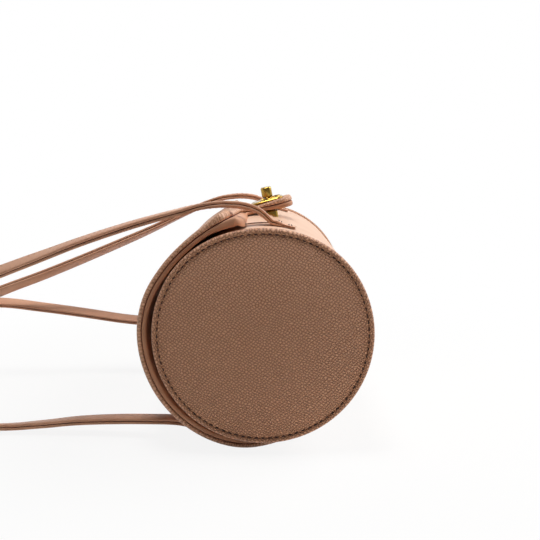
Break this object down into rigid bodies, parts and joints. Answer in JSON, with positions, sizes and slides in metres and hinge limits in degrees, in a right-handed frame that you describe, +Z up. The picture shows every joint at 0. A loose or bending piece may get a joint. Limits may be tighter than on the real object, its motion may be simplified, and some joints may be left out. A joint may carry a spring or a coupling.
{
  "type": "bowling bag",
  "caption": "Barrel shaped leather handbag lying on its back, with a wraparound flap, a turn lock tab and long strap handles.",
  "frame": {"origin": "middle of the flat face that the bag rests on, under the lowest line of its flap's fixed back run", "axes": "+Z up as the bag lies on its back, +Y along the barrel toward its far end, -X toward the handles, the side that points up when the bag is carried"},
  "size_m": [0.3633, 0.1876, 0.1427],
  "materials": {
    "pebbled_leather": "pebbled, satin",
    "smooth_leather": "smooth, satin",
    "flap_inner_leather": "smooth, matte",
    "lining_cloth": "woven, matte",
    "stiffener_board": "matte",
    "gold_plated_metal": "polished",
    "plated_steel": "satin"
  },
  "bodies": {
    "bag": {"back_handle_far_sewn_end": "smooth_leather", "back_handle_near_sewn_end": "smooth_leather", "body_board": "stiffener_board", "body_wrap": "smooth_leather", "far_end_board": "stiffener_board", "far_end_cap": "pebbled_leather", "far_end_lining": "lining_cloth", "far_end_rim": "pebbled_leather", "flap_back_board": "stiffener_board", "flap_back_inner": "flap_inner_leather", "flap_back_outer": "pebbled_leather", "front_handle_far_sewn_end": "smooth_leather", "front_handle_near_sewn_end": "smooth_leather", "lining_wrap": "lining_cloth", "lock_back_plate": "plated_steel", "lock_base": "gold_plated_metal", "lock_rivet_far": "plated_steel", "lock_rivet_near": "plated_steel", "mouth_facing_back": "smooth_leather", "mouth_facing_front": "smooth_leather", "near_end_board": "stiffener_board", "near_end_cap": "pebbled_leather", "near_end_lining": "lining_cloth", "near_end_rim": "pebbled_leather", "slip_pocket": "lining_cloth"},
    "flap": {"closing_tab_inner": "flap_inner_leather", "closing_tab_outer": "pebbled_leather", "eyelet_plate": "gold_plated_metal", "eyelet_washer": "gold_plated_metal", "flap_front_board": "stiffener_board", "flap_front_inner": "flap_inner_leather", "flap_front_outer": "pebbled_leather"},
    "front_legs": {"front_handle_far_leg_inner": "smooth_leather", "front_handle_far_leg_outer": "smooth_leather", "front_handle_near_leg_inner": "smooth_leather", "front_handle_near_leg_outer": "smooth_leather"},
    "front_arch": {"front_handle_arch_inner": "smooth_leather", "front_handle_arch_outer": "smooth_leather"},
    "back_handle": {"back_handle_inner": "smooth_leather", "back_handle_outer": "smooth_leather"},
    "knob": {"lock_knob": "gold_plated_metal", "lock_spindle": "gold_plated_metal"}
  },
  "joints": [
    {"name": "flap_open", "type": "hinge", "parent": "bag", "child": "flap", "pos_m": [-0.05119, 0, 0.09958], "axis": [0, -1, 0], "range_deg": [0, 100]},
    {"name": "front_handle_lift", "type": "hinge", "parent": "bag", "child": "front_legs", "pos_m": [0.01391, 0, 0.1285], "axis": [0, 1, 0], "range_deg": [0, 130]},
    {"name": "front_arch_lift", "type": "hinge", "parent": "front_legs", "child": "front_arch", "pos_m": [-0.03611, 0, 0.13033], "axis": [0.0327, 0.9983, -0.0476], "range_deg": [0, 100]},
    {"name": "back_handle_swing", "type": "hinge", "parent": "bag", "child": "back_handle", "pos_m": [-0.04442, 0, 0.01398], "axis": [0, -1, 0], "range_deg": [0, 90]},
    {"name": "lock_turn", "type": "hinge", "parent": "bag", "child": "knob", "pos_m": [0.0112, 0, 0.1276], "axis": [-0.1908, 0, 0.9816], "range_deg": [0, 90]}
  ],
  "couplings": [
    {"joint": "front_handle_lift", "follows": "flap_open", "ratio": 1.3}
  ]
}
